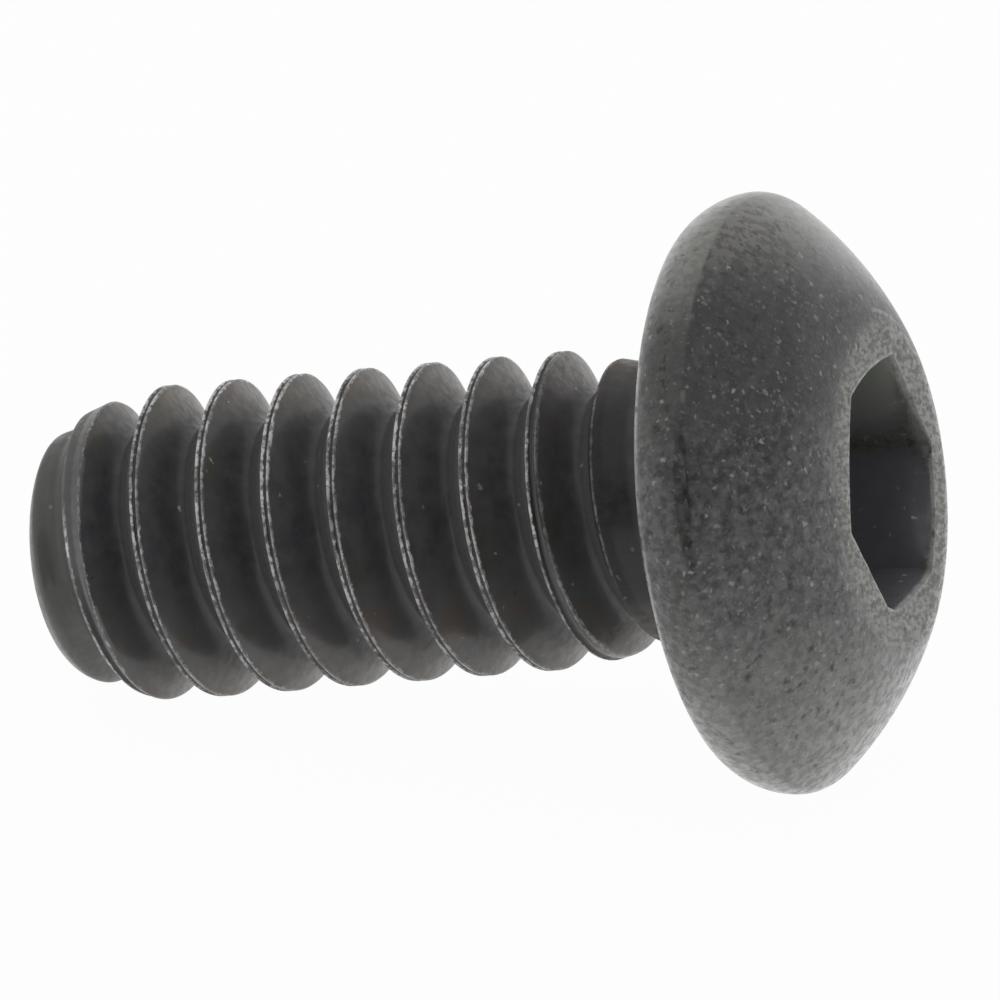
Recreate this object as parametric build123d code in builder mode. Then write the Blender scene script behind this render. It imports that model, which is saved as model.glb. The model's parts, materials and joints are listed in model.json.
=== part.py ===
"""Button head screw with a hexagon socket and a coarse 60 degree thread.

One piece, made the way the real screw is: a blank with a tapered point and a slimmer neck,
a helical thread groove that runs out below the head, a domed head and a hexagon socket.
It is built upright along +Z with the middle of its point at the origin. Then it is laid down
as it comes to rest, on the swollen side of its head and on its first full crest, with its
head towards +X and the middle of its footprint at the origin.
Units are millimetres and degrees.
"""

import os
from math import asin, atan2, ceil, degrees, hypot, radians, tan

from build123d import *

# Thread: 10-24 UNC, 60 degrees between its flanks, right-handed.
major_diameter = 4.72
pitch = 1.0583                # 24 threads to the inch
flank_angle = 30.0            # each flank, from a plane across the axis
crest_share = 0.125           # flat of a crest, in pitches
depth_share = 0.6134          # depth of the groove, in pitches
shank_length = 10.75          # from the end of the point to the bearing face

# Point: a short taper on which the thread starts.
point_step = 0.47             # how far the taper comes in from the crests at the end face
point_taper = 1.42            # length of the taper
point_round = 0.45            # rounding round the end face

# Neck and run-out, with lengths taken from the bearing face.
neck_step = 0.45              # how far the neck lies in from the crests
neck_length = 0.73            # where the crests have sunk to the neck
crest_runout = 1.82           # length over which they sink
groove_runout_start = 1.65    # where the bottom of the groove begins to rise
groove_runout_end = 0.55      # where it has risen to the neck
neck_fillet = 0.46            # ends on the bearing face just outside of the crests

# Head: a swollen side that leans out, a dome and a flat ring round the socket.
head_diameter = 8.88          # at the edge between the side and the dome
head_height = 2.37
side_height = 0.84
side_lean = 0.27              # how far the side leans out on its way up
side_swell = 0.114            # how far it swells out of its chord
dome_swell = 0.137            # how far the dome swells out of its chord
rim_round = 0.08              # between the bearing face and the side
ring_diameter = 5.08          # outside of the flat ring

# Socket: a 1/8 inch hexagon key with some clearance.
key_size = 3.175
key_clearance = 0.025
socket_depth = 1.85
socket_break = 0.09           # broken edge round the mouth
cone_angle = 140.0            # point of the punch that formed its bottom
socket_turn = 31.6            # a corner of the hexagon, round the axis from the run-out

# Cutters reach this far past what they cut.
overcut = 0.10

# Sizes that follow.
major_radius = major_diameter / 2
point_radius = major_radius - point_step
neck_radius = major_radius - neck_step
head_radius = head_diameter / 2
bearing_radius = head_radius - side_lean
ring_radius = ring_diameter / 2
head_top = shank_length + head_height
groove_depth = depth_share * pitch
root_radius = major_radius - groove_depth
flank_slope = tan(radians(flank_angle))
root_half_width = (1 - crest_share) * pitch / 2 - groove_depth * flank_slope
runout_start = shank_length - groove_runout_start
runout_rise = groove_runout_start - groove_runout_end
runout_cone = degrees(atan2(neck_radius - root_radius, runout_rise))
runout_sink = neck_step * (1 - (groove_runout_start - neck_length) / crest_runout)
groove_turns = ceil((runout_start + pitch / 2) / pitch)
socket_apothem = (key_size + key_clearance) / 2
socket_point = socket_apothem / tan(radians(cone_angle / 2))


def groove_section(start, depth):
    """Section of the groove, its bottom at the root radius, at a height on the +X side."""
    place = Plane(origin=(root_radius, 0, start), x_dir=(1, 0, 0), z_dir=(0, -1, 0))
    mouth_half_width = root_half_width + depth * flank_slope
    with BuildSketch(place) as section:
        Polygon(
            (0, -root_half_width),
            (0, root_half_width),
            (depth, mouth_half_width),
            (depth, -mouth_half_width),
            align=None,
        )
    return section.sketch


with BuildPart() as upright:
    # The blank: point, shank, sunken crests, neck and head, as one turned profile.
    with BuildSketch(Plane.XZ) as blank:
        with BuildLine():
            Polyline(
                (0, head_top),
                (0, 0),
                (point_radius, 0),
                (major_radius, point_taper),
                (major_radius, shank_length - neck_length - crest_runout),
                (neck_radius, shank_length - neck_length),
                (neck_radius, shank_length),
                (bearing_radius, shank_length),
            )
            SagittaArc(
                (bearing_radius, shank_length),
                (head_radius, shank_length + side_height),
                -side_swell,
            )
            SagittaArc(
                (head_radius, shank_length + side_height),
                (ring_radius, head_top),
                -dome_swell,
            )
            Line((ring_radius, head_top), (0, head_top))
        make_face()
        point_corners = blank.vertices().filter_by_position(Axis.Y, 0, 0)
        fillet(point_corners.sort_by(Axis.X)[-1], point_round)
        under_head = blank.vertices().filter_by_position(Axis.Y, shank_length, shank_length)
        fillet(under_head.sort_by(Axis.X)[0], neck_fillet)
        under_head = blank.vertices().filter_by_position(Axis.Y, shank_length, shank_length)
        fillet(under_head.sort_by(Axis.X)[-1], rim_round)
    revolve(axis=Axis.Z)

    # The thread groove, cut one turn at a time from below the point to the run-out.
    for turn in range(groove_turns):
        start = runout_start - (groove_turns - turn) * pitch
        with BuildLine() as one_turn:
            Helix(pitch=pitch, height=pitch, radius=root_radius, center=(0, 0, start))
        sweep(
            groove_section(start, groove_depth + overcut),
            path=one_turn.wire(),
            is_frenet=True,
            mode=Mode.SUBTRACT,
        )

    # The run-out: the bottom of the groove climbs a cone until it leaves the neck.
    with BuildLine() as climb:
        Helix(
            pitch=pitch,
            height=runout_rise,
            radius=root_radius,
            center=(0, 0, runout_start),
            cone_angle=runout_cone,
        )
    sweep(
        groove_section(runout_start, groove_depth - runout_sink + overcut),
        path=climb.wire(),
        is_frenet=True,
        mode=Mode.SUBTRACT,
    )

    # The socket: a hexagon with a broken edge and a conical bottom.
    with BuildSketch(Plane.XY.offset(head_top)):
        RegularPolygon(
            radius=socket_apothem,
            side_count=6,
            major_radius=False,
            rotation=socket_turn,
        )
    extrude(amount=-socket_depth, mode=Mode.SUBTRACT)
    ring = upright.faces().filter_by(GeomType.PLANE).sort_by(Axis.Z)[-1]
    chamfer(ring.inner_wires()[0].edges(), socket_break)
    with Locations((0, 0, head_top - socket_depth)):
        Cone(
            bottom_radius=0,
            top_radius=socket_apothem,
            height=socket_point,
            align=(Align.CENTER, Align.CENTER, Align.MAX),
            mode=Mode.SUBTRACT,
        )

# How it lies. The screw rolls until it lies lowest, on the round side of its head and on the
# crest that starts at the end of the taper. In a plane through the axis, with heights along
# the axis and radii across it, the floor is the line that touches both.
side_chord = hypot(side_height, side_lean)
side_radius = (side_chord**2 / 4 + side_swell**2) / (2 * side_swell)
side_inset = side_radius - side_swell
side_centre_height = shank_length + side_height / 2 + side_inset * side_lean / side_chord
side_centre_radius = head_radius - side_lean / 2 - side_inset * side_height / side_chord
run = side_centre_height - point_taper
rise = side_centre_radius - major_radius
tilt = degrees(atan2(rise, run) + asin(side_radius / hypot(run, rise)))

# The side of the screw that meets the floor, round the axis from the run-out.
turns_to_taper = (point_taper - runout_start) / pitch - (1 + crest_share) / 2
floor_side = 360 * (turns_to_taper % 1)

with BuildPart() as lying:
    with Locations(Location((0, 0, 0), (0, 90 - tilt, -floor_side))):
        add(upright.part)

reach = lying.part.bounding_box()
footprint_middle = (-reach.center().X, -reach.center().Y, -reach.min.Z)
with BuildPart() as button_head_screw:
    with Locations(footprint_middle):
        add(lying.part)

button_head_screw.part.label = "button_head_screw"
os.makedirs("parts", exist_ok=True)
export_step(button_head_screw.part, "parts/button_head_screw.step")

size = button_head_screw.part.bounding_box().size
print("pitch", round(pitch, 4), "root radius", round(root_radius, 3), "tilt", round(tilt, 2))
print("size", [round(side, 3) for side in size], "valid", button_head_screw.part.is_valid)
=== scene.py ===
# %% [markdown]
# # A button head screw with its wear
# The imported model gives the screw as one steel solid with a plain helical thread. This
# lesson builds a finer skin for it: thread crests rolled to a double edge, a rounded point,
# a thread that runs out at the neck, a swollen domed head and a punched hexagon socket.
# Blender works in metres, the sizes here are in millimetres, and the finished skin stays in
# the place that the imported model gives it.

import json
import math

import bpy
import numpy as np
from mathutils import Euler, Matrix, Vector, noise


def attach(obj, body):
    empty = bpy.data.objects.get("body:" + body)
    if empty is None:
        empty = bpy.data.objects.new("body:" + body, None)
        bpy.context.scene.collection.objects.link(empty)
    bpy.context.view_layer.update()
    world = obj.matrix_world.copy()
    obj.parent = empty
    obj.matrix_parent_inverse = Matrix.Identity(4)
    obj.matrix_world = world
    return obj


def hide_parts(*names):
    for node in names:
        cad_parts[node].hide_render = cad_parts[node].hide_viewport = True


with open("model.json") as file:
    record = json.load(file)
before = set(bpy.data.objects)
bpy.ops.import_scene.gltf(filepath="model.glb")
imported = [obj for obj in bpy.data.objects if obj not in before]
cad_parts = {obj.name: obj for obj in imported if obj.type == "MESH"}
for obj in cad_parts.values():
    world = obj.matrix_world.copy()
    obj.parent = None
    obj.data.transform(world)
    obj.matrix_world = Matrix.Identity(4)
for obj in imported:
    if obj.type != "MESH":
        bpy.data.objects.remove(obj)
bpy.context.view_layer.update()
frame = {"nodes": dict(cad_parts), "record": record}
print("packed nodes:", sorted(frame["nodes"]))

# %% [markdown]
# ## Sizes
# These are the sizes that the solid is built from, and the neck alone is a little fuller
# here, as on the real screw. A CREST, a ROOT or a NECK is a radius. Heights are measured
# along the screw from the end of its point, and angles round it from the side where the
# groove begins to run out.

# %% Sizes of the screw
MM = 0.001
PITCH = 1.0583
CREST = 2.36
ROOT = 1.711
NECK = 1.97
SHANK = 10.75
HEAD_HEIGHT = 2.37
HEAD_TOP = SHANK + HEAD_HEIGHT
RUNOUT_START = SHANK - 1.65
FLANK_ANGLE = math.radians(30)
FLANK_SLOPE = 1 / math.tan(FLANK_ANGLE)
print("head top at", HEAD_TOP, "mm; flanks fall", round(FLANK_SLOPE, 3), "mm per mm across")

# %% [markdown]
# ## The blank's outline
# A screw is rolled from a turned blank, so the thread can't stand out of the blank's outline.
# The outline is a table along the skin: a nominal height, and the height and radius of the
# skin there. It starts on the flat end of the point, goes round the end, up the taper, along
# the crests, down to the neck, and round the fillet onto the underside of the head. A table
# is better than a formula here, because points that are evenly spaced along the helix then
# stay evenly spaced round both bends.

# %% The blank's outline, as a table
END_RADIUS = 1.44
END_ROUND = 0.60
TAPER_LEAN = math.radians(18.3)
TAPER_END = 1.42
CRESTS_END = SHANK - 2.55
NECK_START = SHANK - 0.73
FILLET = 0.40
BEND_STEPS = 12
# The table goes on over both flat faces, so that the tube's ends lie on them.
FLAT_RUN = 1.3
ACROSS_END = 1.15
ACROSS_BEARING = 0.85


def blank_outline():
    """Rows of nominal height, height and radius, from the point to under the head."""
    turn = math.pi / 2 - TAPER_LEAN
    end_flat = END_ROUND * (1 - math.cos(turn)) - END_ROUND * turn
    rows = [(end_flat - FLAT_RUN, 0, END_RADIUS - ACROSS_END), (end_flat, 0, END_RADIUS)]
    for step in range(1, BEND_STEPS + 1):
        angle = turn * step / BEND_STEPS
        height = END_ROUND * (1 - math.cos(angle))
        rows.append((end_flat + END_ROUND * angle, height, END_RADIUS + END_ROUND * math.sin(angle)))
    rows.append((TAPER_END, TAPER_END, CREST))
    rows.append((CRESTS_END, CRESTS_END, CREST))
    rows.append((NECK_START, NECK_START, NECK))
    for step in range(BEND_STEPS + 1):
        angle = math.pi / 2 * step / BEND_STEPS
        nominal = SHANK - FILLET + FILLET * angle
        height = SHANK - FILLET * (1 - math.sin(angle))
        rows.append((nominal, height, NECK + FILLET * (1 - math.cos(angle))))
    rows.append((nominal + FLAT_RUN, SHANK, NECK + FILLET + ACROSS_BEARING))
    return np.array(rows)


outline = blank_outline()
print("outline:", len(outline), "rows, from", outline[0].round(3), "to", outline[-1].round(3))

# %% [markdown]
# ## One pitch of thread, turned into a helix
# A thread is one small profile repeated along a helix. The Screw modifier does just that: it
# turns a line of points round an axis and lifts it by one pitch each turn. The line here has
# its points close together at the crest, where the form is sharp, and wide apart in the root.
# It starts as a plain upright line, so the turned mesh is a tube whose rows follow the helix,
# and the form is cut into the tube afterwards.

# %% Helpers for a line of points
def select_only(*pieces):
    """Select these objects, or none, and nothing else, with the last one active."""
    bpy.ops.object.select_all(action="DESELECT")
    for piece in pieces:
        piece.select_set(True)
        bpy.context.view_layer.objects.active = piece


def enter(mode):
    """Go into edit mode or back to object mode."""
    bpy.ops.object.mode_set(mode=mode)


def line_of_points(name, count):
    """A mesh of count points joined by edges: one side of a grid, the rest deleted."""
    select_only()
    bpy.ops.mesh.primitive_grid_add(x_subdivisions=1, y_subdivisions=count - 1, size=2)
    line = bpy.context.object
    line.name = line.data.name = name
    enter("EDIT")
    bpy.ops.mesh.select_mode(type="VERT")
    bpy.ops.mesh.select_all(action="DESELECT")
    enter("OBJECT")
    for vertex in line.data.vertices:
        vertex.select = vertex.co.x > 0
    enter("EDIT")
    bpy.ops.mesh.delete(type="VERT")
    enter("OBJECT")
    return line


def place_points(line, radii, heights):
    """Set the line's points in order along it, and number them in an attribute."""
    order = np.argsort([vertex.co.y for vertex in line.data.vertices])
    numbers = line.data.attributes.new("row", "FLOAT", "POINT")
    for row, index in enumerate(order):
        line.data.vertices[index].co = (radii[row] * MM, 0, heights[row] * MM)
        numbers.data[index].value = row


def turn_line(line, steps, lift=0.0, turns=1):
    """Turn the line round the screw's axis with a Screw modifier, and merge where it meets."""
    lathe = line.modifiers.new("turn", "SCREW")
    lathe.axis = "Z"
    lathe.steps = steps
    lathe.render_steps = steps
    lathe.screw_offset = lift * MM
    lathe.iterations = turns
    bpy.context.view_layer.objects.active = line
    bpy.ops.object.modifier_apply(modifier=lathe.name)
    enter("EDIT")
    bpy.ops.mesh.select_all(action="SELECT")
    bpy.ops.mesh.remove_doubles(threshold=0.001 * MM)
    enter("OBJECT")


# %% The thread's line, turned
PROFILE_STEPS = 32
TURN_STEPS = 160
TURNS = 12
TURNS_TO_RUNOUT = 10
CLOSER_AT_CREST = 1.6
CREST_BELOW_POINT = RUNOUT_START + PITCH / 2 - TURNS_TO_RUNOUT * PITCH

shares = np.linspace(-1, 1, PROFILE_STEPS + 1)
across_rows = PITCH / 2 * np.sign(shares) * np.abs(shares) ** CLOSER_AT_CREST
thread = line_of_points("thread", PROFILE_STEPS + 1)
place_points(thread, [CREST] * len(shares), CREST_BELOW_POINT + across_rows)
turn_line(thread, TURN_STEPS, PITCH, TURNS)
print("thread:", len(thread.data.vertices), "points in", TURNS, "turns")

# %% [markdown]
# ## Cutting the form
# Every point of the tube now moves in towards the axis, to the lower of two limits: the
# thread's own profile, and the blank's outline. It could be cut with booleans, but they leave
# ragged edges along a helix, and a rolled thread has soft ones. Where the two limits meet, a
# soft minimum rounds the edge, as rolling does.

# %% Helpers that move points
def soft_min(a, b, soft):
    """The lower of two values, rounded where they cross."""
    share = np.clip(0.5 + 0.5 * (b - a) / soft, 0, 1)
    return b * (1 - share) + a * share - soft * share * (1 - share)


def soft_max(a, b, soft):
    """The higher of two values, rounded where they cross."""
    return -soft_min(-a, -b, soft)


def ease(low, high, value):
    """From 0 at low to 1 at high, level at both ends."""
    share = np.clip((value - low) / (high - low), 0, 1)
    return share * share * (3 - 2 * share)


def read_points(mesh):
    """The points of a mesh in millimetres."""
    points = np.empty(len(mesh.vertices) * 3)
    mesh.vertices.foreach_get("co", points)
    return points.reshape(-1, 3) / MM


def take_rows(mesh):
    """The row number of each point, which then leaves the mesh."""
    rows = np.empty(len(mesh.vertices))
    mesh.attributes["row"].data.foreach_get("value", rows)
    mesh.attributes.remove(mesh.attributes["row"])
    return np.round(rows).astype(int)


def write_points(mesh, points):
    """Put points in millimetres back into a mesh."""
    mesh.vertices.foreach_set("co", (points * MM).ravel())
    mesh.update()


def write_values(mesh, name, values):
    """Store one number, or one vector, for each point."""
    kind = "FLOAT_VECTOR" if values.ndim > 1 else "FLOAT"
    attribute = mesh.attributes.new(name, kind, "POINT")
    attribute.data.foreach_set("vector" if values.ndim > 1 else "value", values.ravel())


# %% [markdown]
# ## Where each point lies on the thread
# A point's angle says how high the helix is on its side, and the rest is how far the point
# lies across the thread from the nearest crest. On the taper the crest is measured along the
# screw, because there the outline leans and the nominal height runs ahead of the real one.

# %% Height, turn and distance from the crest
# The head alone needs its row numbers, so the thread's are dropped.
take_rows(thread.data)
points = read_points(thread.data)
around = np.arctan2(points[:, 1], points[:, 0])
nominal = points[:, 2]
lowest = CREST_BELOW_POINT + np.mod(around, 2 * math.pi) / (2 * math.pi) * PITCH
helix_turn = np.round((nominal - lowest) / PITCH)
across = nominal - lowest - helix_turn * PITCH
height = np.interp(nominal, outline[:, 0], outline[:, 1])
blank = np.interp(nominal, outline[:, 0], outline[:, 2])
crest_height = nominal - across
off_crest = np.where(nominal > NECK_START, np.abs(across), np.abs(height - crest_height))
print("turns of the helix:", int(helix_turn.min()), "to", int(helix_turn.max()))

# %% [markdown]
# ## Groove, ridge and land
# The bottom of the groove is low along the shank, a little higher at the point, where the
# dies have only begun to bite, and rises to the neck in the run-out. The ridge falls from its
# crest at the flank's slope until it meets the groove. The land is what is left of it inside
# the blank's outline.

# %% Radius of the thread at each point
CREST_FLAT = 0.112
EDGE_SOFT = 0.012
POINT_SOFT = 0.16
ROOT_SOFT = 0.16
RUNOUT_SOFT = 0.04
RUNOUT_LENGTH = 0.62
FIRST_GROOVE_FILL = 0.11
FIRST_GROOVE = (0.35, 0.95)
ROUND_OF_POINT = (0.2, 0.75)

rise = np.clip((height - RUNOUT_START) / RUNOUT_LENGTH, 0, 1)
groove = ROOT + (NECK - ROOT) * rise + FIRST_GROOVE_FILL * (1 - ease(*FIRST_GROOVE, height))
ridge = CREST + (CREST_FLAT / 2 - off_crest) * FLANK_SLOPE
ridge = soft_max(ridge, groove, ROOT_SOFT * (1 - rise) + RUNOUT_SOFT)
land = soft_min(ridge, blank, EDGE_SOFT + POINT_SOFT * (1 - ease(*ROUND_OF_POINT, nominal)))
print("radius from", land.min().round(3), "to", land.max().round(3))

# %% [markdown]
# ## The fold along the crests, and the neck
# Rolling pushes steel up from both flanks, and where the two sides meet they leave a fine
# fold along the middle of each crest, with an edge on either side that wears bright. The fold
# starts where the first crest is full and fades as the last one sinks. Past the last crest
# there is no groove any more: it is closed, and the neck runs smoothly into the fillet.

# %% The fold and the closed groove
FOLD_DEPTH = 0.030
FOLD_HALF = 0.030
FIRST_FULL_CREST = (1.02, 1.14)
CRESTS_SINK = (8.4, 9.2)
INTO_FILLET = (SHANK - 0.66, SHANK - 0.36)
GROOVE_CLOSES = (9.10, 9.35)
HEAD_FLANK = (0.0, 0.14)

fold = FOLD_DEPTH * np.exp(-(off_crest / FOLD_HALF) ** 2)
land = land - fold * ease(*FIRST_FULL_CREST, crest_height) * (1 - ease(*CRESTS_SINK, nominal))
land = land + (blank - land) * ease(*INTO_FILLET, nominal)
closed = ease(*GROOVE_CLOSES, crest_height) * ease(*HEAD_FLANK, across)
closed = np.maximum(closed, ease(*GROOVE_CLOSES, crest_height - PITCH))
land = land + (blank - land) * closed
write_points(thread.data, np.stack([land * np.cos(around), land * np.sin(around), height], axis=1))
print("deepest fold:", fold.max().round(3), "mm; radius from", land.min().round(3))

# %% [markdown]
# ## What the material will need to know
# Wear follows the form, so each point carries a few numbers into the material: how far it is
# from the edge of the crest's land, which flank it is on, how high along the screw its crest
# is, and how far it is from the mouth of the socket. Where a number has no meaning, it gets a
# value that is far from anything.

# %% Attributes of the thread
FAR = 3.0
WIDEST_LAND = 0.45

half_land = np.clip(CREST_FLAT / 2 + (CREST - blank) / FLANK_SLOPE, 0, WIDEST_LAND)
off_land = off_crest - half_land + FAR * ease(NECK_START, SHANK, nominal)
write_values(thread.data, "off_land", off_land)
write_values(thread.data, "off_mouth", np.full(len(off_land), FAR))
write_values(thread.data, "side", np.sin(2 * math.pi * across / PITCH))
write_values(thread.data, "crest", crest_height)
print("points on the lands:", int((off_land < 0).sum()), "of", len(off_land))

# %% [markdown]
# ## The head, as one turned line
# The head is a lathed form outside and a hexagon inside. One line of points does for both:
# it runs from under the head round the rim, up the swollen side, over the dome and across
# the flat ring, and is turned in columns. Further in, each column is moved onto the outline
# of the socket, goes down its wall, and ends in the middle of its bottom.

# %% Helpers for the head's outline
def arc(start, end, swell, count):
    """Points on an arc from start to end that stands out by swell on its right side."""
    start = np.array(start, float)
    end = np.array(end, float)
    chord = end - start
    length = np.hypot(*chord)
    outward = np.array([chord[1], -chord[0]]) / length
    radius = (length ** 2 / 4 + swell ** 2) / (2 * swell)
    centre = (start + end) / 2 + outward * (swell - radius)
    half = math.asin(length / 2 / radius)
    angles = np.linspace(-half, half, count)
    return [centre + radius * (outward * math.cos(a) + chord / length * math.sin(a)) for a in angles]


def blend_corner(before, after, reach, count):
    """Join two runs of points with a curve that starts and ends this far from their corner."""
    corner = before[-1]
    before = [p for p in before if np.hypot(*(p - corner)) > reach]
    after = [p for p in after if np.hypot(*(p - corner)) > reach]
    towards_before = (before[-1] - corner) / np.hypot(*(before[-1] - corner)) * reach
    towards_after = (after[0] - corner) / np.hypot(*(after[0] - corner)) * reach
    curve = []
    for t in np.linspace(0, 1, count):
        curve.append(corner + towards_before * (1 - t) ** 2 + towards_after * t ** 2)
    return before + curve + after


def straight(start, end, count):
    """Points on a straight line."""
    start = np.array(start)
    return [start + (np.array(end) - start) * t for t in np.linspace(0, 1, count)]


# %% The head's outline
BEARING_INSIDE = 3.35
BEARING_RADIUS = 4.17
HEAD_RADIUS = 4.44
SIDE_HEIGHT = 0.84
SHOULDER = SHANK + SIDE_HEIGHT
SIDE_SWELL = 0.103
DOME_SWELL = 0.137
RING_RADIUS = 2.54
RING_INSIDE = 2.22
RIM_CORNER = 0.09
SHOULDER_CORNER = 0.16
RING_CORNER = 0.26

bearing = straight((BEARING_INSIDE, SHANK), (BEARING_RADIUS, SHANK), 5)
side = arc((BEARING_RADIUS, SHANK), (HEAD_RADIUS, SHOULDER), SIDE_SWELL, 12)
dome = arc((HEAD_RADIUS, SHOULDER), (RING_RADIUS, HEAD_TOP), DOME_SWELL, 22)
ring = straight((RING_RADIUS, HEAD_TOP), (RING_INSIDE, HEAD_TOP), 4)
head_line = blend_corner(bearing, side, RIM_CORNER, 5)
head_line = blend_corner(head_line, dome, SHOULDER_CORNER, 9)
head_line = blend_corner(head_line, ring, RING_CORNER, 9)
print("head outline:", len(head_line), "rows")

# %% [markdown]
# ## The socket's two outlines
# The socket was punched cleanly, a little off the middle, and its mouth has been worn by keys
# since. So there are two outlines: a true hexagon for the wall, and a mouth whose corners lie
# where wear has left them, with bowed sides and one corner broken into two. Each outline has
# one point for each column of the head, so that rows can run from one to the other.

# %% Helpers for the socket's outlines
COLUMNS_PER_SIDE = 50
COLUMNS = 6 * COLUMNS_PER_SIDE


def polar(angle, radius):
    """A point at an angle in degrees."""
    return np.array([math.cos(math.radians(angle)), math.sin(math.radians(angle))]) * radius


def bowed_outline(corner_columns, corners, bows):
    """A closed outline with bowed sides, as one point for each column."""
    line = np.zeros((COLUMNS, 2))
    for index, start in enumerate(corners):
        following = (index + 1) % len(corners)
        count = (corner_columns[following] - corner_columns[index]) % COLUMNS
        chord = corners[following] - start
        outward = np.array([chord[1], -chord[0]]) / np.hypot(*chord)
        for step in range(count):
            t = step / count
            bow = outward * bows[index] * 4 * t * (1 - t)
            line[(corner_columns[index] + step) % COLUMNS] = start + chord * t + bow
    return line


# %% The mouth, the wall and the way the columns fan out
# Corners of the worn mouth: column, angle round the axis in degrees, radius.
MOUTH_CORNERS = [
    (6, 44.0, 1.857), (50, 92.8, 2.039), (100, 150.5, 2.03), (150, 205.1, 2.0),
    (200, 266.8, 1.80), (250, 335.4, 1.81), (294, 29.9, 1.834),
]
MOUTH_BOWS = [0.035, 0.14, 0.0, 0.10, 0.08, 0.0, 0.02]
MOUTH_WAVES = 0.012
WAVES_PER_MM = 4
SOCKET_OFF_MIDDLE = 0.15
SOCKET_LIES_TOWARDS = 133.8
WALL_RADIUS = 1.855
WALL_TURN = 31.6
# Angles in degrees of every fiftieth column, which lead to the corners of the mouth.
FAN = [36.9, 92.8, 150.5, 205.1, 266.8, 335.4, 396.9]

mouth = [polar(angle, radius) for _, angle, radius in MOUTH_CORNERS]
mouth_line = bowed_outline([column for column, _, _ in MOUTH_CORNERS], mouth, MOUTH_BOWS)
for point in mouth_line:
    wave = noise.noise(Vector((point[0] * WAVES_PER_MM, point[1] * WAVES_PER_MM, 0.5)))
    point += MOUTH_WAVES * wave * point / np.hypot(*point)
socket_middle = polar(SOCKET_LIES_TOWARDS, SOCKET_OFF_MIDDLE)
wall = [socket_middle + polar(WALL_TURN + 60 * k, WALL_RADIUS) for k in range(6)]
wall_line = bowed_outline([COLUMNS_PER_SIDE * k for k in range(6)], wall, [0.0] * 6)
fan_angles = np.interp(np.arange(COLUMNS), np.arange(7) * COLUMNS_PER_SIDE, FAN)
circle = np.array([polar(angle, 1.0) for angle in fan_angles])
print("socket mouth across corners:", round(float(np.hypot(*(mouth_line[0] - mouth_line[150]))), 3), "mm")

# %% [markdown]
# ## Rows of the head
# The head is a stack of closed rows. The outer ones are circles, those on the flat ring blend
# from a circle to the mouth, and those below blend from the mouth to the wall. The bottom of
# a punched socket is a shallow cone, which ends in a small opening that is filled later.

# %% Rows, from under the head to the bottom of the socket
SOCKET_DEPTH = 1.85
CONE_DEPTH = 0.582
CONE_RADIUS = 1.6
# Rows across the ring: share of the way from the ring's outside to the mouth, and the drop.
RING_ROWS = [(0.40, 0.0), (0.75, 0.0), (0.92, 0.0), (0.97, 0.003), (1.0, 0.012)]
# Rows down the wall: share of the way from the mouth to the wall, and the drop.
LIP_ROWS = [(0.10, 0.025), (0.22, 0.045), (0.36, 0.08), (0.50, 0.14), (0.72, 0.25), (0.92, 0.42),
            (1.0, 0.60)]
WALL_ROWS = np.linspace(0.85, SOCKET_DEPTH - 0.04, 6)
# Rows down the cone: share of its radius that is left.
CONE_ROWS = (0.75, 0.5, 0.25, 0.08)

socket_floor = HEAD_TOP - SOCKET_DEPTH
head_rows = [(circle * radius, level) for radius, level in head_line]
inner = circle * head_line[-1][0]
for share, drop in RING_ROWS:
    head_rows.append((inner + (mouth_line - inner) * share, HEAD_TOP - drop))
mouth_row = len(head_rows) - 1
for share, drop in LIP_ROWS:
    head_rows.append((mouth_line + (wall_line - mouth_line) * share, HEAD_TOP - drop))
for depth in WALL_ROWS:
    head_rows.append((wall_line, HEAD_TOP - depth))
cone_top = circle * CONE_RADIUS + socket_middle
head_rows.append((wall_line + (cone_top - wall_line) * 0.25, socket_floor))
head_rows.append((cone_top, socket_floor - 0.01))
for share in CONE_ROWS:
    level = socket_floor - CONE_DEPTH * (1 - share)
    head_rows.append((circle * CONE_RADIUS * share + socket_middle, level))
print("rows of the head:", len(head_rows), "with the mouth at row", mouth_row)

# %% Turn the head, then send each point to its row and column
head = line_of_points("head", len(head_rows))
place_points(head, np.linspace(3, 1, len(head_rows)), np.linspace(0, 1, len(head_rows)))
turn_line(head, COLUMNS)
row_of = take_rows(head.data)
spun = read_points(head.data)
turned = np.mod(np.arctan2(spun[:, 1], spun[:, 0]), 2 * math.pi) / (2 * math.pi)
column_of = np.round(turned * COLUMNS).astype(int) % COLUMNS
flat_points = np.array([row for row, _ in head_rows])[row_of, column_of]
levels = np.array([level for _, level in head_rows])[row_of]
head_points = np.concatenate([flat_points, levels[:, None]], axis=1)
print("head:", len(head.data.vertices), "points")

# %% [markdown]
# ## The worn side of the dome
# On one side the flat ring has been rubbed away: there the dome goes on in one soft curve to
# the mouth of the socket. So on that side every point is pushed down to a curve that leaves
# the top slowly and falls ever faster, and the push fades out round the head.

# %% Push the worn side down, and write the head's attributes
WORN_SIDE = 303
WORN_FADES = (30, 80)
WORN_START = 1.85
WORN_WIDTH = 1.99
WORN_DROP = 0.868
WORN_CURVE = 2.1
ABOVE_ALL_CRESTS = 20.0

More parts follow.
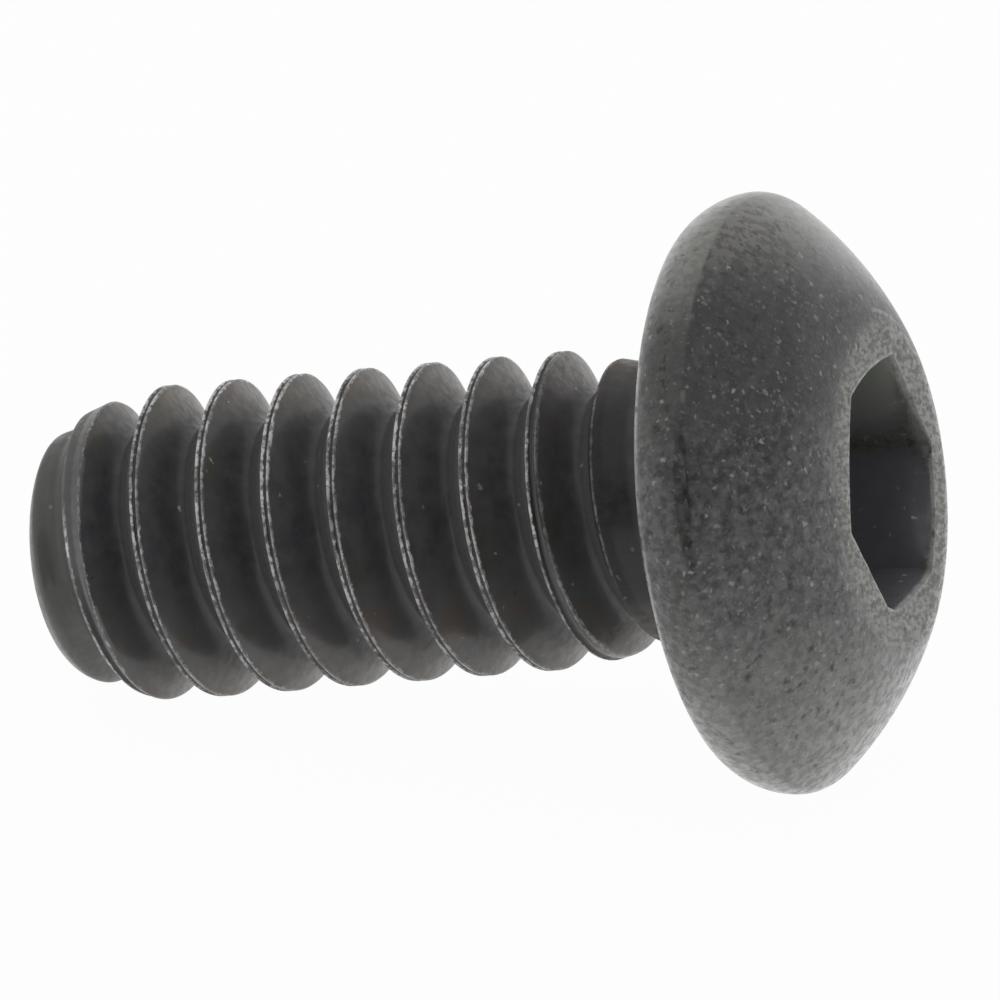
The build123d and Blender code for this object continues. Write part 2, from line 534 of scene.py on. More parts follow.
from_axis = np.hypot(head_points[:, 0], head_points[:, 1])
from_worn_side = np.abs((fan_angles[column_of] - WORN_SIDE + 180) % 360 - 180)
worn_curve = HEAD_TOP - WORN_DROP * np.clip((from_axis - WORN_START) / WORN_WIDTH, 0, 1) ** WORN_CURVE
push = np.clip(head_points[:, 2] - worn_curve, 0, None) * (1 - ease(*WORN_FADES, from_worn_side))
head_points[:, 2] -= np.where((row_of <= mouth_row) & (from_axis < WORN_START + WORN_WIDTH), push, 0)
write_points(head.data, head_points)
past_mouth = np.hypot(*(flat_points - mouth_line[column_of]).T)
write_values(head.data, "off_mouth", np.where(row_of > mouth_row, -past_mouth, past_mouth))
write_values(head.data, "off_land", np.full(len(head_points), FAR))
write_values(head.data, "side", np.zeros(len(head_points)))
write_values(head.data, "crest", np.full(len(head_points), ABOVE_ALL_CRESTS))
print("deepest push:", push.max().round(3), "mm")

# %% [markdown]
# ## Joining and closing
# The two skins meet on the bearing face, and both ends of the helix are spirals on flat
# faces. A boolean could unite them, but it would cut the rows to slivers. Joined into one
# mesh, each open edge lies in one plane and is simply filled.

# %% Join the pieces and fill the flat openings
NEAR = 0.01


def fill_opening(piece, level):
    """Fill the open edges that lie near a height along the screw."""
    select_only(piece)
    enter("EDIT")
    bpy.ops.mesh.select_mode(type="EDGE")
    bpy.ops.mesh.select_all(action="DESELECT")
    bpy.ops.mesh.select_non_manifold(extend=False)
    enter("OBJECT")
    for vertex in piece.data.vertices:
        vertex.select = False
    for edge in piece.data.edges:
        ends = [piece.data.vertices[index] for index in edge.vertices]
        edge.select = edge.select and all(abs(end.co.z / MM - level) < NEAR for end in ends)
        if edge.select:
            for end in ends:
                end.select = True
    print("filling an opening of", sum(edge.select for edge in piece.data.edges), "edges")
    enter("EDIT")
    bpy.ops.mesh.select_mode(type="EDGE")
    bpy.ops.mesh.fill()
    enter("OBJECT")


select_only(head, thread)
bpy.ops.object.join()
screw = thread
screw.name = screw.data.name = "screw_skin"
for level in (0, SHANK, head_rows[-1][1]):
    fill_opening(screw, level)
enter("EDIT")
bpy.ops.mesh.select_all(action="SELECT")
bpy.ops.mesh.normals_make_consistent(inside=False)
enter("OBJECT")
write_values(screw.data, "upright", read_points(screw.data))
print("screw:", sum(len(polygon.vertices) - 2 for polygon in screw.data.polygons), "triangles")

# %% [markdown]
# ## Laying it down
# The screw rests on a crest and on the swollen side of its head, so its axis rises towards
# the head. The imported record says where the axis starts and which way it points. The side
# that faces the floor is the one where the first full crest begins at the end of the taper.
# Before that, every point has kept its upright place in an attribute, which the material
# reads, so that wear and dust follow the screw and not the room.

# %% Lay it down and attach it
CREST_SHARE = 0.125
SHARPEST_SMOOTH = math.radians(40)

axis_of_thread = next(mount for mount in frame["record"]["mounts"] if mount["name"] == "thread")
tilt = math.asin(-axis_of_thread["axis"][2])
floor_side = 2 * math.pi * (((TAPER_END - RUNOUT_START) / PITCH - (1 + CREST_SHARE) / 2) % 1)
lay_down = (Matrix.Translation(axis_of_thread["pos_m"])
            @ Matrix.Rotation(math.pi / 2 - tilt, 4, "Y")
            @ Matrix.Rotation(-floor_side, 4, "Z"))
screw.data.transform(lay_down)
select_only(screw)
bpy.ops.object.shade_smooth_by_angle(angle=SHARPEST_SMOOTH)
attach(screw, "root")
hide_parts("button_head_screw")
print("axis rises", round(math.degrees(tilt), 2), "degrees; floor side", round(math.degrees(floor_side), 2))

# %% [markdown]
# ## Building a material from nodes
# A material is a tree of nodes, and in code each node takes several lines: add it, set its
# options, link its inputs. These helpers make each a single call, in the tree that the cell
# has named, so that a mask reads as a product of simple masks. In a ramp, the two numbers
# after a value say where the mask is empty and where it is full, and two more give other
# strengths than 0 and 1. Places are in millimetres.

# %% Node helpers
def set_inputs(node, inputs):
    """Set or link a node's inputs, by name or number."""
    for name, value in inputs.items():
        if isinstance(value, bpy.types.NodeSocket):
            tree.links.new(value, node.inputs[name])
        else:
            node.inputs[name].default_value = value


def add_node(kind, inputs, **settings):
    """Add a node, set its options, and set or link its inputs."""
    node = tree.nodes.new("ShaderNode" + kind)
    for name, value in settings.items():
        setattr(node, name, value)
    set_inputs(node, inputs)
    return node


def math_node(operation, a, b=0.0):
    """A Math node's value."""
    return add_node("Math", {0: a, 1: b}, operation=operation).outputs[0]


def vector_node(operation, a, b=(0, 0, 0), output="Vector"):
    """A Vector Math node's vector or value."""
    return add_node("VectorMath", {0: a, 1: b}, operation=operation).outputs[output]


def times(*factors):
    """Masks multiplied with each other."""
    product = factors[0]
    for factor in factors[1:]:
        product = math_node("MULTIPLY", product, factor)
    return product


def plus(a, b):
    """The sum of two values."""
    return math_node("ADD", a, b)


def rest_of(mask):
    """Where the mask is empty."""
    return math_node("SUBTRACT", 1.0, mask)


def ramp(value, low, high, to_low=0.0, to_high=1.0, kind="SMOOTHSTEP"):
    """A value brought from one range to another, smoothly or in a straight line."""
    inputs = {"Value": value, "From Min": low, "From Max": high, "To Min": to_low, "To Max": to_high}
    return add_node("MapRange", inputs, interpolation_type=kind).outputs["Result"]


def noise_value(position, scale, detail, roughness=0.5):
    """A Noise texture's value."""
    inputs = {"Vector": position, "Scale": scale, "Detail": detail, "Roughness": roughness}
    return add_node("TexNoise", inputs).outputs["Fac"]


def grey(value, blue=0.0, green=0.0, red=0.0):
    """A grey with a little of a colour in it."""
    return (value + red, value + green, value + blue, 1)


def cover(colour, *layers):
    """A colour under layers, each a mask and the colour that it shows."""
    for mask, top in layers:
        node = add_node("Mix", {0: mask, 6: colour, 7: top}, data_type="RGBA", blend_type="MIX")
        colour = node.outputs[2]
    return colour


# %% [markdown]
# ## Irregular patches, as a node group
# Black oxide is never one even colour. It has lighter flecks, darker pores and blotches of
# every size, all of them irregular. One small group makes them all: a noise, cut off between
# two values. Cut close to its middle it gives blotches, and cut near its top it gives spots.
# It is used many times with its own scale and its own cut, so it is built once.

# %% The patches group
def open_group(name, *numbers):
    """A new node group that takes a position and some numbers, and what they arrive as."""
    group = bpy.data.node_groups.new(name, "ShaderNodeTree")
    group.interface.new_socket("Position", in_out="INPUT", socket_type="NodeSocketVector")
    for number in numbers:
        group.interface.new_socket(number, in_out="INPUT", socket_type="NodeSocketFloat")
    group.interface.new_socket("Mask", in_out="OUTPUT", socket_type="NodeSocketFloat")
    return group, group.nodes.new("NodeGroupInput").outputs


def place_group(group, *values):
    """A node group placed with its own values, in the order of its inputs."""
    node = add_node("Group", {}, node_tree=group)
    set_inputs(node, dict(enumerate(values)))
    return node.outputs["Mask"]


def patch_mask(position, per_mm, none_at, full_at, roughness=0.6):
    """Irregular patches: the noise's value is cut off between two values."""
    return place_group(patches, position, per_mm, roughness, none_at, full_at)


tree, given = open_group("patches", "Per millimetre", "Roughness", "None at", "Full at")
cloudy = noise_value(given["Position"], given["Per millimetre"], 3.0, given["Roughness"])
mask = ramp(cloudy, given["None at"], given["Full at"])
tree.links.new(mask, tree.nodes.new("NodeGroupOutput").inputs["Mask"])
patches = tree
print("patches group:", len(tree.nodes), "nodes")

# %% [markdown]
# ## Separate flecks, as a second group
# Crumbs of dust and bare spots are small, bright and apart from each other, which a noise
# can't give. A Voronoi texture can: it splits space into cells with a random colour each. The
# colour's first part says whether a cell has a fleck and how large, its second how bright,
# and a little noise on the position bends the flecks out of round.

# %% The flecks group
BEND_SCALE = 9.0
BEND_REACH = (0.16, 0.16, 0.16)
LARGEST_FLECK = 0.34
FLECK_EDGE = (-0.14, 0.20)


def fleck_mask(position, per_mm, share):
    """Separate flecks, in a share of the cells."""
    return place_group(flecks, position, per_mm, share)


tree, given = open_group("flecks", "Per millimetre", "Share")
bend = add_node("TexNoise", {"Vector": given["Position"], "Scale": BEND_SCALE, "Detail": 2.0})
bend = vector_node("SUBTRACT", bend.outputs["Color"], (0.5, 0.5, 0.5))
bent = add_node("VectorMath", {0: bend, 1: BEND_REACH, 2: given["Position"]}, operation="MULTIPLY_ADD")
cells = add_node("TexVoronoi", {"Vector": bent.outputs[0], "Scale": given["Per millimetre"]}).outputs
chance = add_node("SeparateColor", {0: cells["Color"]}).outputs
size = ramp(chance[0], rest_of(given["Share"]), 1.0, 0.0, LARGEST_FLECK, "LINEAR")
inside = ramp(math_node("SUBTRACT", size, cells["Distance"]), *FLECK_EDGE)
shown = math_node("GREATER_THAN", size, 0.001)
bright = ramp(chance[1], 0.0, 1.0, 0.1, 1.0, "LINEAR")
mask = times(inside, times(shown, bright))
tree.links.new(mask, tree.nodes.new("NodeGroupOutput").inputs["Mask"])
flecks = tree
print("flecks group:", len(tree.nodes), "nodes")

# %% [markdown]
# ## What the steel reads from the skin
# The screw was blackened in one bath, so its finish is one material. What differs from place
# to place follows the form, so it comes from the attributes: the upright position and what is
# worked out from it, and the numbers written along the thread. The side that lies lowest
# holds the most dust, so how far down a point lies is used often.

# %% Places on the screw
LOW_SIDE = 43.8


def towards(position, degrees):
    """How far a position lies from the axis towards one side of the screw."""
    side = (math.cos(math.radians(degrees)), math.sin(math.radians(degrees)), 0)
    return vector_node("DOT_PRODUCT", position, side, "Value")


steel = bpy.data.materials.new("black_oxide_steel")
steel.use_nodes = True
tree = steel.node_tree
shader = tree.nodes["Principled BSDF"]
upright = add_node("Attribute", {}, attribute_name="upright").outputs["Vector"]
off_land, off_mouth, flank, crest = (
    add_node("Attribute", {}, attribute_name=name).outputs["Fac"]
    for name in ("off_land", "off_mouth", "side", "crest")
)
parts = add_node("SeparateXYZ", {0: upright}).outputs
height = parts["Z"]
flat = add_node("CombineXYZ", {0: parts["X"], 1: parts["Y"]}).outputs[0]
radius = vector_node("LENGTH", flat, output="Value")
down = towards(flat, LOW_SIDE)
up_or_down = math_node("ABSOLUTE", down)
# The same position, moved, makes a pattern differ from another of its scale.
elsewhere = vector_node("ADD", upright, (7.1, 3.3, 5.2))
far_off = vector_node("ADD", upright, (-4.6, 11.9, 2.8))
on_head = ramp(height, SHANK - 0.1, SHANK + 0.02)
on_thread = rest_of(on_head)
mottle = patch_mask(upright, 3.2, 0.3, 0.7)
speckle = patch_mask(elsewhere, 6.5, 0.37, 0.63, 0.62)
grit = patch_mask(upright, 7.0, 0.40, 0.60)
print("places and patterns:", len(tree.nodes), "nodes")

# %% [markdown]
# ## Oxide on the thread
# The oxide in the thread is dark and a little blue, and brown on the sides that handling and
# damp reach. The flanks that face the point are painted lighter, as light into their shade, and
# the lower side is painted lighter, as light thrown up from the floor. Rust and olive tints start
# at the crests, where the oxide is thinnest. A painted image could show all this, but masks made
# of places and noises stay sharp at any size.

# %% Ground colour and tints of the thread
near_crest = ramp(off_land, 0.26, 0.02)
# Painted light: the flanks that face the point are lightened against their own shade.
tip_flank_painted_light = ramp(flank, -0.05, -0.6, 0.0, 0.85)
# Painted light: the lower side of the thread is lighter, as light thrown up from the floor.
low_side_painted_light = times(ramp(down, 0.4, 1.3), ramp(down, 2.1, 1.8, 0.3, 1.0), 0.8)
brown = times(ramp(up_or_down, 1.55, 2.2, 0.0, 0.8), patch_mask(far_off, 1.4, 0.25, 0.52))
rust = times(patch_mask(elsewhere, 1.1, 0.50, 0.66), near_crest, 0.7)
low_rust = times(ramp(down, 0.7, 1.1), ramp(down, 1.9, 1.5), patch_mask(upright, 1.3, 0.50, 0.62),
                 ramp(off_land, 0.35, 0.10), 0.8)
olive = times(patch_mask(far_off, 0.9, 0.50, 0.66), near_crest, 0.7)
oxide = cover(
    grey(0.062, blue=0.007),
    (mottle, grey(0.092, blue=0.005)),
    (tip_flank_painted_light, grey(0.125)),
    (low_side_painted_light, grey(0.130, blue=0.002)),
    (brown, grey(0.098, red=0.036, blue=-0.038)),
    (rust, grey(0.058, red=0.030, green=0.006)),
    (low_rust, grey(0.105, red=0.045, green=0.006, blue=-0.022)),
    (olive, grey(0.066, green=0.006, blue=-0.014)),
)
print("thread's oxide:", len(tree.nodes), "nodes")

# %% [markdown]
# ## The run-out and the last full crest
# Where the thread runs out, its land is painted nearly black as shade, except at the top and the
# bottom, and old dust lies underneath. The neck under the head is painted a little lighter, as
# light into its shade. The last full crest has two rough places, near its top and near its
# bottom, with light scabs and dark pocks in them.

# %% Run-out, rough places and neck
# Painted shade: the land in the run-out is darkened nearly black.
runout_painted_shade = times(ramp(crest, 8.9, 9.2), ramp(up_or_down, 1.9, 1.2, 0.2, 0.9), ramp(off_land, 0.16, 0.04))
under_runout = times(ramp(crest, 9.3, 9.5), ramp(down, 1.35, 1.80), patch_mask(far_off, 1.4, 0.25, 0.50),
                     0.85)
rough_top = times(ramp(down, -1.60, -2.00), ramp(crest, 8.00, 8.08), ramp(crest, 8.42, 8.30),
                  ramp(flank, -0.1, 0.4, 0.10, 1.0))
rough_low = times(ramp(down, 1.55, 1.95), ramp(crest, 8.58, 8.64), ramp(crest, 8.88, 8.80),
                  ramp(flank, -0.1, 0.4))
rough_places = plus(rough_top, rough_low)
scabs = times(rough_places, patch_mask(elsewhere, 4.6, 0.46, 0.62), 0.8)
pocks = times(rough_places, patch_mask(far_off, 5.5, 0.42, 0.35))
# Painted light: the neck under the head is lightened against its own shade.
neck_painted_light = times(ramp(height, 9.80, 10.02), ramp(down, 1.7, 1.3, 0.4, 0.9))
oxide = cover(
    oxide,
    (runout_painted_shade, grey(0.022)),
    (under_runout, grey(0.170, red=0.016, blue=-0.020)),
    (scabs, grey(0.200, red=0.036, blue=-0.036)),
    (pocks, grey(0.014, red=0.006, blue=-0.004)),
    (neck_painted_light, grey(0.075)),
)
print("with the run-out:", len(tree.nodes), "nodes")

# %% [markdown]
# ## Dust and pits on the thread
# The point is rubbed and dusty all round, and lighter still towards the bottom. Over everything
# lies a fine speckle, and small dark pits open beside the crests.

# %% Dust on the point, speckle and pits
point_dust = ramp(height, 0.95, 0.6, 0.0, 0.85)
# Lighter still towards the bottom of the point.
point_lighter_below = times(point_dust, ramp(down, 0.5, 1.7))
pits = times(patch_mask(far_off, 5.5, 0.30, 0.24), ramp(off_land, 0.3, 0.1))
oxide = cover(
    oxide,
    (point_dust, grey(0.145, green=0.006, blue=-0.014)),
    (point_lighter_below, grey(0.260, green=0.008, blue=-0.018)),
    (times(speckle, 0.18), grey(0.11)),
    (pits, grey(0.006)),
)
print("with dust and pits:", len(tree.nodes), "nodes")

# %% [markdown]
# ## Oxide on the head
# The head is blotched, with a calm, darker part towards its top. The swollen side is painted
# lighter as a sheen, with some dust, most where it curves away above and below, and the head is
# painted lighter towards the floor, as light thrown up from it, over spots of dust. A line of
# bare steel runs round the rim, and a broken one along the shoulder between side and dome.

# %% The side, the shoulder and the dome
blotches = patch_mask(upright, 4.0, 0.36, 0.64)
warm_patches = times(patch_mask(far_off, 0.5, 0.52, 0.66), 0.35)
calm = ramp(down, -0.4, -1.7, 0.0, 0.7)
on_side = ramp(height, SHOULDER + 0.03, SHOULDER - 0.03)
# Painted sheen with some dust: the swollen side is lighter, most where it curves away above and below.
side_painted_sheen_and_dust = times(on_side, ramp(up_or_down, 2.0, 3.9, 0.10, 0.95), ramp(grit, 0.0, 1.0, 0.7, 1.0))
dust_spots = patch_mask(elsewhere, 6.5, 0.50, 0.68, 0.55)
# Painted light over spots of dust: the head grows lighter towards the floor, as light thrown up from it.
dust_and_painted_floor_light = times(ramp(down, 0.8, 3.8), ramp(dust_spots, 0.0, 1.0, 0.38, 0.95))
# Specks lighter towards the top of the head.
top_lighter_specks = times(ramp(down, -2.7, -4.2), ramp(speckle, 0.0, 1.0, 0.20, 0.95))
rim_line = times(ramp(height, SHANK + 0.13, SHANK + 0.05), ramp(radius, 3.9, 4.1),
                 patch_mask(elsewhere, 1.5, 0.30, 0.50), 0.85)
off_shoulder = math_node("ABSOLUTE", math_node("SUBTRACT", height, SHOULDER + 0.02))
worn_line = times(ramp(off_shoulder, 0.05, 0.015), patch_mask(elsewhere, 2.5, 0.50, 0.62), 0.4)
dark_line = times(ramp(off_shoulder, 0.09, 0.02), patch_mask(elsewhere, 0.6, 0.52, 0.42), 0.05)
head_oxide = cover(
    grey(0.014),
    (blotches, grey(0.054)),
    (warm_patches, grey(0.075, red=0.022, green=0.005)),
    (calm, grey(0.025)),
    (side_painted_sheen_and_dust, grey(0.310, green=0.009, blue=-0.026)),
    (dust_and_painted_floor_light, grey(0.430, green=0.007, blue=-0.020)),
    (top_lighter_specks, grey(0.260, red=0.010, blue=-0.020)),
    (rim_line, grey(0.55)),
    (worn_line, grey(0.24)),
    (dark_line, grey(0.008)),
)
print("head's oxide:", len(tree.nodes), "nodes")

# %% [markdown]
# ## The flat ring
# Wear has given the flat ring round the socket a finer, duller grain, off the middle like
# the socket itself. A Mapping node draws the grain out a little along the worn side. Where
# the ring's edge shows, a painted highlight runs along it, with a line of painted shade beside it.

# %% The ring, its edge and its grain
RING_OFF_MIDDLE = 0.3
RING_LIES_TOWARDS = 123
ALONG_WORN_SIDE = math.radians(-46.2)
GRAIN_LENGTH = 2.3

ring_middle = (*polar(RING_LIES_TOWARDS, RING_OFF_MIDDLE), 0)
from_ring_middle = vector_node("DISTANCE", flat, ring_middle, "Value")
on_ring = ramp(from_ring_middle, 2.60, 2.33)
drawn_out = {"Vector": upright, "Rotation": (0, 0, ALONG_WORN_SIDE), "Scale": (GRAIN_LENGTH, 1.0, 1.0)}
along_ring = add_node("Mapping", drawn_out, vector_type="TEXTURE").outputs["Vector"]
ring_grit = patch_mask(along_ring, 14.0, 0.34, 0.66, 0.5)
ring_dust = times(on_ring, ramp(ring_grit, 0.0, 1.0, 0.55, 0.95))
away = towards(upright, SOCKET_LIES_TOWARDS)
edge_shows = times(ramp(up_or_down, 2.20, 2.40), ramp(away, -0.10, 0.15))
off_edge = math_node("ABSOLUTE", math_node("SUBTRACT", radius, RING_RADIUS + 0.02))
# Painted highlight along the ring's edge, where it shows.
ring_edge_highlight = times(ramp(off_edge, 0.05, 0.01), edge_shows, 0.7)
# Painted shade: a dark line just beside the edge.
off_shade = math_node("ABSOLUTE", math_node("SUBTRACT", radius, RING_RADIUS + 0.10))
ring_shade = times(ramp(off_shade, 0.05, 0.01), edge_shows, 0.6)
rubbed_through = times(dust_spots, ramp(calm, 0.0, 0.7, 0.65, 0.35))
head_oxide = cover(
    head_oxide,
    (ring_dust, grey(0.105, green=0.014, blue=-0.020)),
    (ring_edge_highlight, grey(0.34)),
    (ring_shade, grey(0.020, red=0.006)),
    (rubbed_through, grey(0.12)),
)
print("with the ring:", len(tree.nodes), "nodes")

# %% [markdown]
# ## Flecks, pores and the mouth of the socket
# Light flecks of two sizes crowd together in some places and towards the floor, dark pores
# keep off the shoulder, and the mouth of the socket has a bare edge. The socket itself is
# smoother and painted lighter, as light into its deep shade, lighter still on its upper wall,
# with a few crumbs.

# %% Flecks, pores and socket
crowding = ramp(noise_value(upright, 0.9, 3.0), 0.36, 0.64, 0.30, 0.85)
crowding = plus(crowding, ramp(down, 0.2, 1.3, 0.0, 0.5))
big_flecks = fleck_mask(upright, 8.0, crowding)
small_flecks = fleck_mask(elsewhere, 11.0, times(crowding, 1.5))
pores = times(patch_mask(far_off, 6.0, 0.44, 0.32), ramp(off_shoulder, 0.08, 0.30, 0.2, 0.85))
lip = times(ramp(off_mouth, 0.07, 0.02), ramp(off_mouth, -0.05, -0.02),
            ramp(height, HEAD_TOP - 0.3, HEAD_TOP - 0.1), patch_mask(upright, 3.0, 0.3, 0.5), 0.6)
in_socket = times(ramp(off_mouth, -0.02, -0.07), ramp(radius, 2.5, 2.3))
# Painted light: the socket is lightened against its deep shade. It is lighter still on its upper wall.
socket_oxide_painted_lighter = cover(
    grey(0.120, blue=0.014),
    (mottle, grey(0.135, blue=0.016)),
    (ramp(down, -0.4, -1.6, 0.0, 0.8), grey(0.290, green=0.014, blue=-0.032)),
    (times(fleck_mask(far_off, 8.5, 0.12), 0.8), grey(0.6)),
)
head_oxide = cover(
    head_oxide,
    (times(small_flecks, 0.7), grey(0.24)),
    (times(big_flecks, 0.9), grey(0.40, blue=-0.01)),
    (pores, grey(0.004)),
    (lip, grey(0.34)),
    (in_socket, socket_oxide_painted_lighter),
)
colour = cover(oxide, (on_head, head_oxide))
print("with the socket:", len(tree.nodes), "nodes")

# %% [markdown]
# ## Worn crests
# Each crest has a dark land between two bright edges. The edges aren't lines but rows of
# beads, because the crest is never quite even, and they thin out in places. So a narrow band
# on either side of the land is broken by a fine pattern, and its distance from the land
# wanders a little. The first land is only rubbed grey, and the edges fade in the run-out.

# %% Bright edges and dark lands
beads = patch_mask(upright, 8.0, 0.38, 0.62, 0.7)
thin_places = patch_mask(elsewhere, 1.6, 0.35, 0.6)
wander = ramp(noise_value(upright, 5.0, 4.0, 0.75), 0.3, 0.7, -0.011, 0.011)
off_line = plus(off_land, wander)
on_land = times(ramp(off_land, 0.0, -0.03), on_thread)
first_land = times(on_land, ramp(crest, 1.10, 1.03), ramp(crest, 0.45, 0.60),
                   ramp(grit, 0.0, 1.0, 0.35, 1.0))
dark_land = times(on_land, ramp(crest, 9.05, 8.85), ramp(crest, 1.03, 1.12), 0.75)
tip_edge = times(ramp(off_line, -0.044, -0.028), ramp(off_line, 0.026, 0.010), ramp(flank, 0.02, -0.02),
                 ramp(crest, 0.96, 1.0), ramp(crest, 8.9, 9.1, 1.0, 0.28), ramp(crest, 9.65, 9.5))
last_crest = plus(ramp(crest, 8.08, 8.18, 1.0, 0.30), ramp(crest, 8.42, 8.54, 0.0, 0.40))
head_edge = times(ramp(off_line, -0.028, -0.012), ramp(off_line, 0.022, 0.008), ramp(flank, -0.02, 0.02),
                  ramp(crest, 8.85, 8.75), last_crest, ramp(crest, 0.55, 0.75, 0.0, 0.5),
                  ramp(crest, 1.0, 1.12, 0.8, 1.6))
worn = times(plus(tip_edge, head_edge), on_thread, ramp(down, -1.2, -2.0, 1.0, 1.4),
             ramp(beads, 0.0, 1.0, 0.22, 1.0), ramp(thin_places, 0.0, 1.0, 0.5, 1.0))
specks = times(fleck_mask(elsewhere, 9.0, 0.03), on_thread)
colour = cover(
    colour,
    (first_land, grey(0.11)),
    (dark_land, grey(0.008)),
    (worn, grey(0.82)),
    (specks, grey(0.55)),
)
tree.links.new(colour, shader.inputs["Base Color"])
print("with the crests:", len(tree.nodes), "nodes")

# %% [markdown]
# ## Sheen
# Oiled black oxide is a dull ground with a thin glossy film. The Coat of the Principled
# shader is such a film, and its weight says where there is any: on the flanks that face the
# head and near the crests, little in the run-out and on the point, and broken by grit on the
# head. Metal reflections alone would make the dark parts too bright, so the ground stays a
# plain dark colour.

# %% Sheen of the steel
sheen = times(ramp(flank, -0.3, 0.1, 0.05, 0.85), ramp(off_land, 0.34, 0.05, 0.25, 1.0),
              ramp(crest, 8.9, 9.15, 1.0, 0.25), ramp(height, 0.3, 0.8, 0.5, 1.0),
              ramp(down, -1.0, -2.2, 1.0, 0.45), ramp(down, 0.8, 2.2, 1.0, 0.75))
off_ring = rest_of(on_ring)
gritty = ramp(grit, 0.0, 1.0, ramp(calm, 0.0, 0.7, 0.45, 0.68), ramp(calm, 0.0, 0.7, 1.0, 0.84), "LINEAR")
gritty = plus(times(gritty, off_ring), times(on_ring, ramp(ring_grit, 0.0, 1.0, 0.30, 0.85)))
gritty = plus(times(gritty, ramp(in_socket, 0.0, 1.0, 1.0, 0.0)), times(in_socket, 0.6))
beside_ring = times(ramp(from_ring_middle, 3.4, 2.7), ramp(down, -0.6, -1.4, 0.0, 0.4), off_ring)
gritty = times(gritty, rest_of(beside_ring))
sheen = math_node("MAXIMUM", sheen, times(on_head, gritty))
tree.links.new(sheen, shader.inputs["Coat Weight"])
tree.links.new(ramp(speckle, 0.0, 1.0, 0.42, 0.58), shader.inputs["Roughness"])
shader.inputs["Coat Roughness"].default_value = 0.18
shader.inputs["Coat IOR"].default_value = 1.58
shader.inputs["Specular IOR Level"].default_value = 0.3
shader.inputs["IOR"].default_value = 1.5
print("with the sheen:", len(tree.nodes), "nodes")

# %% [markdown]
# ## Grain
# The oxide's grain is a few thousandths of a millimetre deep, too fine for geometry, so it is
# bump. It is strong on the head, fading where that curves away above and below, weak on the
# thread and left out in the socket.

# %% Grain of the steel
GRAIN_DEPTH = 0.02
grain = noise_value(upright, 26.0, 3.0, 0.7)
relief = plus(times(grain, 0.15), times(speckle, 0.5))
relief = times(relief, ramp(on_head, 0.0, 1.0, 0.1, 0.7), ramp(in_socket, 0.0, 1.0, 1.0, 0.0),
               ramp(up_or_down, 2.0, 3.6, 1.0, 0.35))
bump = add_node("Bump", {"Strength": 0.8, "Distance": GRAIN_DEPTH * MM, "Height": relief})
tree.links.new(bump.outputs["Normal"], shader.inputs["Normal"])
screw.data.materials.append(steel)
print("black oxide steel:", len(tree.nodes), "nodes in all")

# %% [markdown]
# ## The paper that it lies on
# White paper is seen as plain white, yet it has to catch the soft shadow under the screw and
# throw light up at it. So it is a mix of two shaders: the camera and mirror-like rays see
# mostly an even glow, and all other rays meet a matt white sheet.

# %% Floor
PAPER = (0.85, 0.85, 0.85, 1)
GLOW_SHARE = 0.97

select_only()
bpy.ops.mesh.primitive_plane_add(size=1.6, location=(0, 0, 0))
floor = bpy.context.object
floor.name = floor.data.name = "floor"
paper = bpy.data.materials.new("white_paper")
paper.use_nodes = True
tree = paper.node_tree
tree.nodes.clear()
output = tree.nodes.new("ShaderNodeOutputMaterial")
diffuse = add_node("BsdfDiffuse", {"Color": PAPER})
glow = add_node("Emission", {"Color": (1, 1, 1, 1), "Strength": 1.0})
rays = tree.nodes.new("ShaderNodeLightPath").outputs
seen = math_node("MAXIMUM", rays["Is Camera Ray"], rays["Is Glossy Ray"])
seen = math_node("MAXIMUM", seen, rays["Is Transmission Ray"])
both = add_node("MixShader", {0: times(seen, GLOW_SHARE), 1: diffuse.outputs[0], 2: glow.outputs[0]})
tree.links.new(both.outputs[0], output.inputs["Surface"])
floor.data.materials.append(paper)
print("floor:", round(floor.dimensions.x, 2), "m wide")

# %% [markdown]
# ## The light
# The screw lies in a tent of white cloth: bright all round at the level of the table, and
# dimmer overhead. No lamp could light it so evenly, so the world itself gives the light, a
# mix of two backgrounds by how steeply a ray goes up.

# %% World
OVERHEAD = 0.6
TENT_TURNS = (0.0, 0.42)

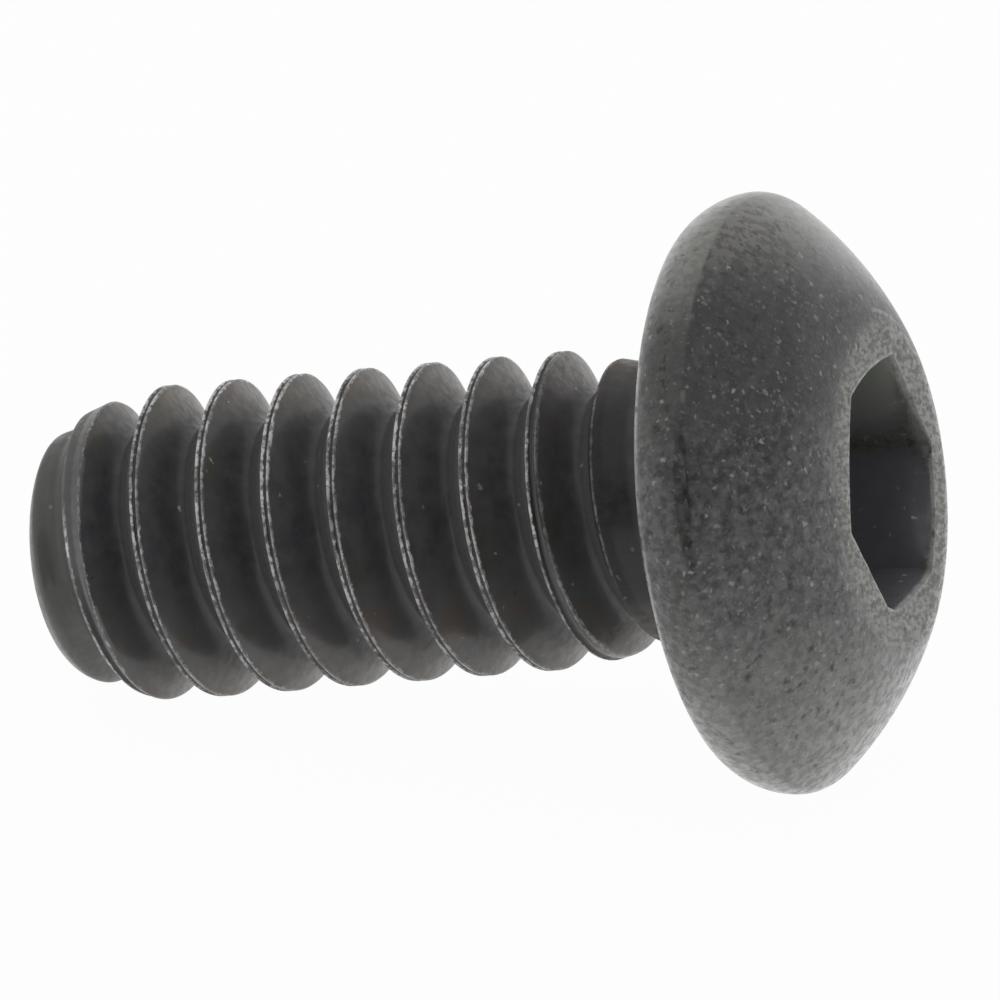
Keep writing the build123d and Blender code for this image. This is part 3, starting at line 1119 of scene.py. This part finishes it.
world = bpy.data.worlds.new("studio")
bpy.context.scene.world = world
world.use_nodes = True
tree = world.node_tree
tree.nodes.clear()
output = tree.nodes.new("ShaderNodeOutputWorld")
direction = tree.nodes.new("ShaderNodeTexCoord").outputs["Generated"]
steepness = add_node("SeparateXYZ", {0: direction}).outputs["Z"]
level_light = add_node("Background", {"Color": (1, 1, 1, 1), "Strength": 1.0})
top_light = add_node("Background", {"Color": (1, 1, 1, 1), "Strength": OVERHEAD})
share = ramp(steepness, *TENT_TURNS)
tent = add_node("MixShader", {0: share, 1: level_light.outputs[0], 2: top_light.outputs[0]})
tree.links.new(tent.outputs[0], output.inputs["Surface"])
print("light overhead:", OVERHEAD, "of the light around")

# %% [markdown]
# ## The camera
# A long lens stands about 0.2 m away, above the paper and on the side of the head, so that
# the socket shows. The colours are shown as they are, without a film look.

# %% Camera
LENS = 495.79
CAMERA_PLACE = Vector((60.8656, -176.6144, 86.5795)) * MM
CAMERA_ANGLES = (66.06419, 0.87417, 18.54226)

camera_data = bpy.data.cameras.new("camera")
camera_data.lens = LENS
camera_data.sensor_width = 36
camera_data.clip_start = 0.01
camera = bpy.data.objects.new("camera", camera_data)
bpy.context.collection.objects.link(camera)
turn = Euler([math.radians(angle) for angle in CAMERA_ANGLES])
camera.matrix_world = Matrix.LocRotScale(CAMERA_PLACE, turn, None)
bpy.context.scene.camera = camera
bpy.context.scene.view_settings.view_transform = "Standard"
print("camera", round(CAMERA_PLACE.length, 3), "m away with a lens of", LENS, "mm")

# %% [markdown]
# ## A dark flag behind the camera
# The tent has an opening for the camera, and dark gloss shows it: the middle of the crests
# and the dome would be too pale without it. A black disc just behind the camera does the same.

# %% Flag
FLAG_RADIUS = 0.11
FLAG_BEHIND = 0.02

select_only()
bpy.ops.mesh.primitive_circle_add(vertices=48, radius=FLAG_RADIUS, fill_type="NGON")
flag = bpy.context.object
flag.name = flag.data.name = "flag"
flag.data.transform(camera.matrix_world @ Matrix.Translation((0, 0, FLAG_BEHIND)))
flag.visible_camera = False
cloth = bpy.data.materials.new("black_cloth")
cloth.use_nodes = True
cloth_shader = cloth.node_tree.nodes["Principled BSDF"]
cloth_shader.inputs["Base Color"].default_value = (0.02, 0.02, 0.02, 1)
cloth_shader.inputs["Roughness"].default_value = 1.0
flag.data.materials.append(cloth)
print("flag:", 2 * FLAG_RADIUS, "m across")
